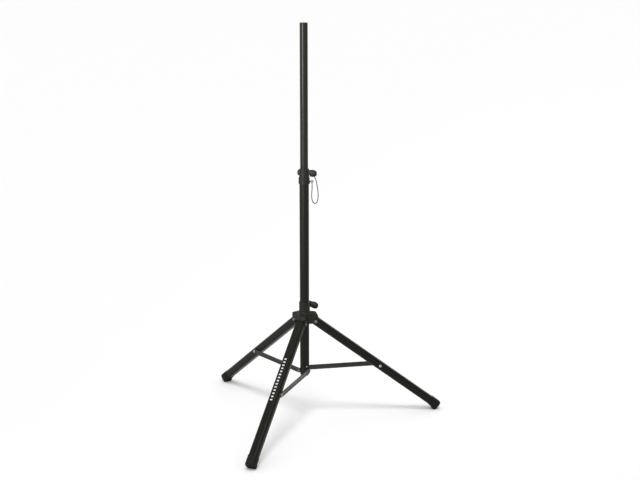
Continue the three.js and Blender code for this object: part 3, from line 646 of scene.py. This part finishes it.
for side, azimuth in collar_rivets.items():
    made(f"collar_rivet_body_{side}",
         turned(rivet_outline(small_rivet, small_head, small_rise, lower_radius - 1.5,
                              bell_radius + 0.3), 48),
         place(azimuth, collar_rivet_height) @ along_x, "column", zinc, "steel", f"collar_rivet_{side}")
for side, azimuth in base_rivets.items():
    made(f"base_rivet_body_{side}",
         turned(rivet_outline(small_rivet, small_head, small_rise, 11, lower_radius + 0.3), 48),
         place(azimuth, base_rivet_height) @ along_x, "column", zinc, "steel", f"base_rivet_{side}")

# ---- Clamp screws -------------------------------------------------------------------------
# Each clamp is a steel stud moulded into a T shaped nylon handle. It turns in a threaded insert in
# the boss and presses a nylon pad on the tube inside.
hub_azimuth, hub_height, hub_tilt = 69, 527, 12
hub_face = 34.4
handle_length, handle_height, handle_thickness = 89, 24, 16
bar_shift = 23.5
# The bar's thickness and height at each distance from its middle, as shares of the two above, and what
# makes up for the rounding.
bar_stations = {9: (1.0, 1.12), 17: (0.94, 1.28), 28: (0.98, 1.38), 37: (0.88, 1.14)}
bar_end = (0.62, 0.7)
bar_regrowth = (1.12, 1.02, 1.1)
screw_radius, screw_pitch = 4.0, 1.25

handle_black = finish_of("handle_black", (0.0095, 0.0095, 0.0072), (0.0135, 0.0135, 0.0105), 0.5,
                         1800.0, 0.2, edge=((0.1, 0.098, 0.09), 0.6), dust=0.12, cloud=30.0,
                         Specular_IOR_Level=0.13)
thread_steel = finish_of("thread_steel", (0.4, 0.4, 0.38), (0.5, 0.49, 0.47), 0.3, 700.0, 0.1,
                         cloud=60.0, metal=1.0)


def handle_solid(face, room, tilt):
    """The T handle in the screw's frame, X out along the screw and Y along the bar."""
    middle = face + bar_shift
    start = face + room
    back = middle + handle_thickness / 2
    bm = bmesh.new()
    bmesh.ops.create_cube(bm, size=1)
    bmesh.ops.scale(bm, vec=(handle_thickness, handle_length, handle_height), verts=bm.verts)
    for reach in bar_stations:
        for spot in (-reach, reach):
            bmesh.ops.bisect_plane(bm, geom=list(bm.verts) + list(bm.edges) + list(bm.faces),
                                   plane_co=(0, spot, 0), plane_no=(0, 1, 0))
    for vert in bm.verts:
        reach = abs(vert.co.y)
        thick, tall = bar_stations.get(round(reach), bar_end)
        vert.co.x *= thick
        vert.co.z *= tall
    item = working(bm)
    step = item.modifiers.new("round", "SUBSURF")
    step.levels = step.render_levels = 3
    wings = settled(item)
    bmesh.ops.scale(wings, vec=bar_regrowth, verts=wings.verts)
    lay = Matrix.Translation((middle, 0, 0)) @ Matrix.Rotation(math.radians(tilt), 4, "X")
    socket = turned([(0, start), (9, start), (10.5, start + 1.5), (11.6, middle - 6), (12.5, back - 3),
                     (12.3, back - 0.6), (11, back + 1), (8.4, back + 1.4), (7.6, back + 0.8),
                     (0, back + 0.8)])
    bore = turned(rod(screw_radius + 0.3, start - 1, middle + 2.3))
    return combine(working(wings, lay), joins=[working(socket, along_x)], cuts=[working(bore, along_x)])


def screw_outline(tip, end):
    """A stud with a thread cut along it."""
    outline = [(0, tip), (screw_radius - 1, tip), (screw_radius - 0.7, tip + 0.4)]
    for turn in range(int((end - tip - 1) / screw_pitch)):
        base = tip + 0.6 + turn * screw_pitch
        outline += [(screw_radius - 0.65, base), (screw_radius, base + 0.45), (screw_radius, base + 0.65)]
    return outline + [(screw_radius - 0.4, end), (0, end)]


for clamp, azimuth, height, tilt, face, room, pad_end in (
        ("collar", collar_azimuth, collar_height, collar_tilt, collar_face, 4.9, 21.7),
        ("hub", hub_azimuth, hub_height, hub_tilt, hub_face, 2.0, 25.2)):
    made(f"{clamp}_t_handle", moulded(handle_solid(face, room, tilt), 0.6, 4), place(azimuth, height),
         f"{clamp}_knob", handle_black, "handle", f"{clamp}_handle", sharp=50)
    made(f"{clamp}_stud", turned(screw_outline(pad_end, face + bar_shift + 2), 32),
         place(azimuth, height) @ along_x, f"{clamp}_knob", thread_steel, "steel", f"{clamp}_clamp_screw",
         sharp=25)
    for part, material in (("threaded_insert", thread_steel), ("pressure_pad", natural_nylon)):
        coated(f"{clamp}_{part}", material)

# ---- Hub ----------------------------------------------------------------------------------
# The sliding leg housing, one nylon moulding: a sleeve on the lower tube and three arms, each a
# pocket between two ears that a leg swings in on its pivot pin.
leg_azimuths = {"front": -111, "right": 9, "left": 129}
hub_top, hub_bottom, hub_shoulder = 551, 452, 500
hub_bore = 22.9
sleeve_radius = 24.6
pivot_radius, pivot_height = 47.8, 462
pocket_radius = 19.3
ear_inside, ear_outside = 21.8, 24.8
ear_radius = 12
pivot_pin, pivot_head, pivot_crown = 3.8, 7, 5.4
seat_outer, seat_inner = 10.0, 7.8
leg_slope = math.radians(37.44)


def profile_plate(points, from_y, to_y):
    """A flat outline in the X-Z plane, thickened along Y."""
    bm = bmesh.new()
    face = bm.faces.new([bm.verts.new((x, from_y, z)) for x, z in points])
    grown = bmesh.ops.extrude_face_region(bm, geom=[face])["geom"]
    bmesh.ops.translate(bm, vec=(0, to_y - from_y, 0),
                        verts=[item for item in grown if isinstance(item, bmesh.types.BMVert)])
    bmesh.ops.recalc_face_normals(bm, faces=bm.faces)
    return bm


def arc(middle, radius, start, end, steps):
    """Points on an arc, angles in radians."""
    return [(middle[0] + radius * math.cos(start + (end - start) * step / steps),
             middle[1] + radius * math.sin(start + (end - start) * step / steps))
            for step in range(steps + 1)]


pivot = (pivot_radius, pivot_height)
lip = pivot_radius + pocket_radius * math.sin(leg_slope) - 1.5
arm_outline = [(0, hub_bottom), (pivot_radius - ear_radius, hub_bottom)]
arm_outline += arc(pivot, ear_radius, -0.7 * math.pi, 0.35, 20)
arm_outline += [(lip + 1, hub_shoulder - 15), (lip + 0.2, hub_shoulder - 9), (lip - 3, hub_shoulder - 4.5),
                (lip - 9, hub_shoulder - 2), (0, hub_shoulder + 3)]
pocket_top = (pivot_radius + pocket_radius * math.sin(leg_slope),
              pivot_height + pocket_radius * math.cos(leg_slope))
pocket_reach = 120
pocket_outline = [(pocket_top[0] + pocket_reach * math.cos(leg_slope),
                   pocket_top[1] - pocket_reach * math.sin(leg_slope))]
pocket_outline += arc(pivot, pocket_radius, math.pi / 2 - leg_slope, math.pi, 32)
pocket_outline += [(pivot_radius - pocket_radius, hub_bottom - 40),
                   (pocket_top[0] + pocket_reach * math.cos(leg_slope), hub_bottom - 40)]

core_radius = pivot_radius - pocket_radius + 5
core = turned([(0, hub_bottom + 1), (core_radius, hub_bottom + 1), (core_radius, hub_shoulder - 3),
               (sleeve_radius + 2, hub_shoulder + 4), (sleeve_radius, hub_shoulder + 8),
               (sleeve_radius, hub_top - 6), (sleeve_radius + 0.7, hub_top - 5.2),
               (sleeve_radius + 0.7, hub_top - 1), (sleeve_radius - 0.4, hub_top), (0, hub_top)], 96)
hub_joins = [boss(hub_face, 21, boss_radius, hub_azimuth, hub_height)]
hub_cuts = [working(turned(rod(hub_bore, hub_bottom - 5, hub_top + 5), 96)),
            drill(pad_hole, hub_azimuth, hub_height, hub_face + 5)]
for azimuth in leg_azimuths.values():
    turn = Matrix.Rotation(math.radians(azimuth), 4, "Z")
    hub_joins.append(working(profile_plate(arm_outline, -ear_outside, ear_outside), turn))
    hub_cuts.append(working(profile_plate(pocket_outline, -ear_inside, ear_inside), turn))
    at_pivot = turn @ Matrix.Translation((pivot_radius, 0, pivot_height)) @ along_y
    hub_cuts.append(working(turned(rod(pivot_pin + 0.3, -ear_outside - 5, ear_outside + 5)), at_pivot))
    for side in (-1, 1):
        seat = turned(tube(seat_outer, seat_inner, side * (ear_outside - 0.5), side * (ear_outside + 0.9)))
        hub_joins.append(working(seat, at_pivot))
hub_bm = moulded(combine(working(core), joins=hub_joins, cuts=hub_cuts), 0.9, 3)
made("hub_moulding", hub_bm, place(), "hub", moulded_black, "moulding", "hub", sharp=50)

# ---- Legs ---------------------------------------------------------------------------------
# Each leg is a rounded rectangular steel tube, coated satin black, that swings on a riveted pin
# between the hub's ears. A spacer inside keeps the pin from crushing it.
leg_width, leg_height, leg_wall, leg_corner = 43, 38, 2, 13
foot_rise = 16.4
leg_length = (pivot_height - foot_rise) / math.sin(leg_slope)
boot_end, boot_wall, boot_length = 5, 1.6, 44
brace_station = 379.1
rivet_radius, rivet_head, rivet_rise = 2.9, 6.5, 2.4
brace_inside = leg_width / 2 + boot_wall + 0.9
brace_thickness = 4
brace_outside = brace_inside + brace_thickness

dull_steel = finish_of("dull_rivet_steel", (0.14, 0.14, 0.13), (0.2, 0.2, 0.185), 0.46, 900.0, 0.2,
                       cloud=120.0, metal=1.0)
# The legs' coat is the same satin black painted darker than the mast's: painted shade.
leg_paint = finish_of("leg_coat_painted_shade", (0.005, 0.005, 0.0025), (0.0072, 0.0072, 0.004), 0.34, 1500.0, 0.12,
                      edge=((0.12, 0.12, 0.115), 0.5), dust=0.04, cloud=7.0, Specular_IOR_Level=0.12)


def leg_place(azimuth):
    """The leg's own frame: X down along the leg from its pivot, Y across it, Z out of its top."""
    return (place(azimuth) @ Matrix.Translation((pivot_radius, 0, pivot_height))
            @ Matrix.Rotation(leg_slope, 4, "Y"))


def rounded_bar(width, height, corner, start, end, segments=10):
    """A rounded rectangle pushed along X."""
    bm = bmesh.new()
    corners = [bm.verts.new((start, y * width / 2, z * height / 2))
               for y, z in ((-1, -1), (1, -1), (1, 1), (-1, 1))]
    bm.faces.new(corners)
    bmesh.ops.bevel(bm, geom=list(bm.verts), offset=corner, segments=segments, profile=0.5,
                    affect="VERTICES", material=-1)
    grown = bmesh.ops.extrude_face_region(bm, geom=list(bm.faces))["geom"]
    bmesh.ops.translate(bm, vec=(end - start, 0, 0),
                        verts=[item for item in grown if isinstance(item, bmesh.types.BMVert)])
    bmesh.ops.recalc_face_normals(bm, faces=bm.faces)
    return bm


def leg_solid():
    """The leg's tube, rounded about its pivot at the top end."""
    end = leg_length - boot_end - 0.3
    nose = working(soften(turned(rod(leg_height / 2, -leg_width, leg_width), 64), 0.1), along_y)
    limit = combine(nose, joins=[working(rounded_bar(4 * leg_width, 2 * leg_height, 1, 0, end + 10, 1))])
    outer = working(rounded_bar(leg_width, leg_height, leg_corner, -leg_height, end))
    step = outer.modifiers.new("nose", "BOOLEAN")
    step.operation = "INTERSECT"
    step.solver = "MANIFOLD"
    step.object = working(limit)
    solid = working(settled(outer))
    hollow = rounded_bar(leg_width - 2 * leg_wall, leg_height - 2 * leg_wall, leg_corner - leg_wall,
                         -leg_height - 5, end + 5)
    holes = [working(turned(rod(pivot_pin + 0.3, -leg_width, leg_width), 48), along_y),
             working(turned(rod(rivet_radius + 0.3, -leg_width, leg_width), 48),
                     Matrix.Translation((brace_station, 0, 0)) @ along_y)]
    return combine(solid, cuts=[working(hollow)] + holes)


ear_face = ear_outside + 0.3
for side, azimuth in leg_azimuths.items():
    made(f"leg_tube_{side}", leg_solid(), leg_place(azimuth), f"{side}_leg", leg_paint, "leg_paint",
         f"leg_{side}")
    bolt = turned([(0, -ear_face - 2.6), (pivot_crown * 0.6, -ear_face - 2.5),
                   (pivot_crown, -ear_face - 2.2), (pivot_head, -ear_face - 1), (pivot_head, -ear_face),
                   (pivot_pin, -ear_face), (pivot_pin, ear_face), (pivot_head, ear_face),
                   (pivot_head, ear_face + 1), (pivot_crown, ear_face + 2.2),
                   (pivot_crown * 0.6, ear_face + 2.5), (0, ear_face + 2.6)])
    made(f"pivot_rivet_{side}", soften(bolt, 0.25, angle=25), leg_place(azimuth) @ along_y, "hub",
         dull_steel, "steel", f"leg_pivot_pin_{side}")
    coated(f"leg_spacer_{side}", zinc)

# ---- Printed marks ------------------------------------------------------------------------
# A row of plain white bars, screen printed along the top face of the front leg.
mark_start, mark_pitch, mark_count = 208, 16.2, 14
mark_width, mark_length, mark_shift = 10, 7, -3.5
mark_thickness, mark_corner = 0.12, 1.5
print_white = finish_of("print_white", (0.55, 0.55, 0.53), (0.62, 0.62, 0.6), 0.45, 1500.0, 0.1,
                        cloud=60.0)
bm = bmesh.new()
for index in range(mark_count):
    middle = mark_start + mark_pitch * index
    bar = bmesh.ops.create_cube(bm, size=1)["verts"]
    bmesh.ops.scale(bm, vec=(mark_length, mark_width, mark_thickness), verts=bar)
    bmesh.ops.translate(bm, vec=(middle, mark_shift, leg_height / 2 + mark_thickness / 2 + 0.02),
                        verts=bar)
    posts = [edge for edge in {e for vert in bar for e in vert.link_edges}
             if abs(edge.verts[0].co.z - edge.verts[1].co.z) > mark_thickness / 2]
    bmesh.ops.bevel(bm, geom=posts, offset=mark_corner, segments=4, profile=0.5, affect="EDGES",
                    material=-1)
made("printed_marks", bm, leg_place(leg_azimuths["front"]), "front_leg", print_white, "leg_paint")

# ---- Rubber boots -------------------------------------------------------------------------
# A moulded rubber boot pushed over each leg's end, with raised bands and a thicker heel that stands
# on the floor.
sole_depth, sole_length = 5, 22
boot_bands = ((0, 3.5), (9, 1.8), (13, 1.8), (17, 1.8))
band_rise = 0.45
floor_gap = 0.0001
boot_rubber = finish_of("boot_rubber", (0.005, 0.005, 0.0038), (0.0075, 0.0075, 0.006), 0.62, 1600.0, 0.4,
                        edge=((0.06, 0.06, 0.058), 0.5), dust=0.12, cloud=35.0, Specular_IOR_Level=0.12)
under = leg_height / 2 + boot_wall
heel_outline = [(leg_length - sole_length, -under + 4),
                (leg_length - sole_length + 4, -under - sole_depth),
                (leg_length - 2, -under - sole_depth), (leg_length, -under - sole_depth + 2),
                (leg_length, -under + 4)]
heel_half = leg_width / 2 + boot_wall - 4
for side, azimuth in leg_azimuths.items():
    start = leg_length - boot_length
    shell = working(soften(rounded_bar(leg_width + 2 * boot_wall, leg_height + 2 * boot_wall,
                                       leg_corner + boot_wall, start, leg_length), 2.0, 3, 60))
    bands = [working(soften(rounded_bar(leg_width + 2 * (boot_wall + band_rise),
                                        leg_height + 2 * (boot_wall + band_rise),
                                        leg_corner + boot_wall + band_rise,
                                        start + at, start + at + wide), 0.4, 2, 60))
             for at, wide in boot_bands]
    heel = working(profile_plate(heel_outline, -heel_half, heel_half))
    inside = working(rounded_bar(leg_width + 0.6, leg_height + 0.6, leg_corner + 0.3, start - 5,
                                 leg_length - boot_end))
    bm = moulded(combine(shell, joins=bands + [heel], cuts=[inside]), 0.8, 3)
    bm.transform(leg_place(azimuth))
    bmesh.ops.bisect_plane(bm, geom=list(bm.verts) + list(bm.edges) + list(bm.faces), dist=1e-6,
                           plane_co=(0, 0, floor_gap), plane_no=(0, 0, -1), clear_outer=True)
    bmesh.ops.holes_fill(bm, edges=[edge for edge in bm.edges if edge.is_boundary])
    made(f"rubber_boot_{side}", bm, Matrix.Identity(4), f"{side}_leg", boot_rubber, "rubber",
         f"foot_boot_{side}", sharp=50)

# ---- Braces -------------------------------------------------------------------------------
# A flat steel strut beside each leg, pressed with a shallow channel, riveted to the leg over a nylon
# washer and pinned to the base fitting on the column.
brace_height = 22
brace_root_radius = 10
channel_inset, channel_share, channel_depth = 14, 0.62, 1.1
washer_radius = 7
brace_root_height = lower_bottom - brace_height / 2
tip_x = pivot_radius + brace_station * math.cos(leg_slope)
tip_z = pivot_height - brace_station * math.sin(leg_slope)
brace_length = math.hypot(tip_x - brace_root_radius, tip_z - brace_root_height)
brace_rise = math.atan2(tip_z - brace_root_height, tip_x - brace_root_radius)

# The brace coat is the same satin black painted a lighter grey than the tubes' coat: a painted highlight
# for the light its flat faces catch from above.
brace_paint = finish_of("brace_coat_painted_highlight", (0.018, 0.018, 0.0138), (0.024, 0.024, 0.019), 0.34, 1500.0, 0.12,
                        edge=((0.16, 0.16, 0.15), 0.6), dust=0.05, cloud=9.0, Specular_IOR_Level=0.2)


def stadium(radius, length, steps=16):
    """A bar's outline with round ends, from one pin to the other."""
    return (arc((length, 0), radius, -math.pi / 2, math.pi / 2, steps)
            + arc((0, 0), radius, math.pi / 2, math.pi * 1.5, steps))


for side, azimuth in leg_azimuths.items():
    brace_place = (place(azimuth) @ Matrix.Translation((brace_root_radius, 0, brace_root_height))
                   @ Matrix.Rotation(-brace_rise, 4, "Y"))
    strip = profile_plate(stadium(brace_height / 2, brace_length), brace_inside, brace_outside)
    channel = profile_plate(
        [(x + (channel_inset if x < brace_length / 2 else -channel_inset), z * channel_share)
         for x, z in stadium(brace_height / 2, brace_length)],
        brace_outside - channel_depth, brace_outside + 1)
    holes = [working(turned(rod(rivet_radius + 0.3, 0, brace_outside + 5), 48),
                     Matrix.Translation((x, 0, 0)) @ along_y) for x in (0, brace_length)]
    bm = combine(working(strip), cuts=[working(channel)] + holes)
    made(f"brace_strut_{side}", soften(bm, 0.45, 3, 50), brace_place, f"{side}_brace", brace_paint,
         "brace_paint", f"brace_{side}")

    face = brace_outside + 0.3
    made(f"root_rivet_{side}", turned(rivet_outline(rivet_radius, rivet_head, rivet_rise, 7, face), 48),
         brace_place @ along_y, "column", dull_steel, "steel", f"brace_root_pin_{side}")
    made(f"brace_rivet_cap_{side}",
         turned(rivet_outline(rivet_radius, rivet_head, rivet_rise, brace_inside, face), 48),
         brace_place @ Matrix.Translation((brace_length, 0, 0)) @ along_y, f"{side}_brace", zinc, "steel",
         f"brace_rivet_head_{side}")

    at_station = leg_place(azimuth) @ Matrix.Translation((brace_station, 0, 0))
    flank = leg_width / 2
    washer_face = brace_inside - 0.3
    made(f"brace_washer_ring_{side}",
         soften(turned(tube(washer_radius, rivet_radius + 0.3, flank + 0.3, washer_face), 48), 0.3),
         at_station @ along_y, f"{side}_leg", natural_nylon, "nylon", f"brace_washer_{side}")
    made(f"brace_rivet_body_{side}",
         turned(rivet_outline(rivet_radius, rivet_head, rivet_rise, -washer_face, flank + 0.3), 48),
         at_station @ Matrix.Rotation(math.pi, 4, "X") @ along_y, f"{side}_leg", zinc, "steel",
         f"brace_rivet_{side}")

# ---- Base fitting -------------------------------------------------------------------------
# A nylon plug in the lower tube's end, held by two rivets, with a boss for each brace's root pin.
base_bottom = 202
base_stem, base_seat, base_plug = 18.7, 239.7, 20
root_boss = 8.5
body = turned([(0, base_bottom), (lower_radius - 6.5, base_bottom), (lower_radius - 5, base_bottom + 0.6),
               (lower_radius - 1, base_bottom + 6), (lower_radius, base_bottom + 9),
               (lower_radius, base_seat - 3), (lower_radius + 0.5, base_seat - 2.4),
               (lower_radius + 0.5, base_seat), (base_stem, base_seat), (base_stem, base_seat + base_plug),
               (base_stem - 1.5, base_seat + base_plug + 1.5), (0, base_seat + base_plug + 1.5)], 96)
boss_face = brace_inside - 0.3
base_joins, base_cuts = [], []
for azimuth in leg_azimuths.values():
    at_root = (Matrix.Rotation(math.radians(azimuth), 4, "Z")
               @ Matrix.Translation((brace_root_radius, 0, brace_root_height)) @ along_y)
    base_joins.append(working(turned([(0, 8), (root_boss + 1, 8), (root_boss, boss_face - 1),
                                      (root_boss - 1, boss_face), (0, boss_face)]), at_root))
    base_cuts.append(working(turned(rod(rivet_radius + 0.3, 6, boss_face + 5)), at_root))
for azimuth in base_rivets.values():
    base_cuts.append(drill(small_rivet + 0.3, azimuth, base_rivet_height, lower_radius + 5, 10))
base_bm = moulded(combine(working(body), joins=base_joins, cuts=base_cuts), 0.55, 3)
made("base_moulding", base_bm, place(), "column", moulded_black, "moulding", "base_fitting", sharp=50)
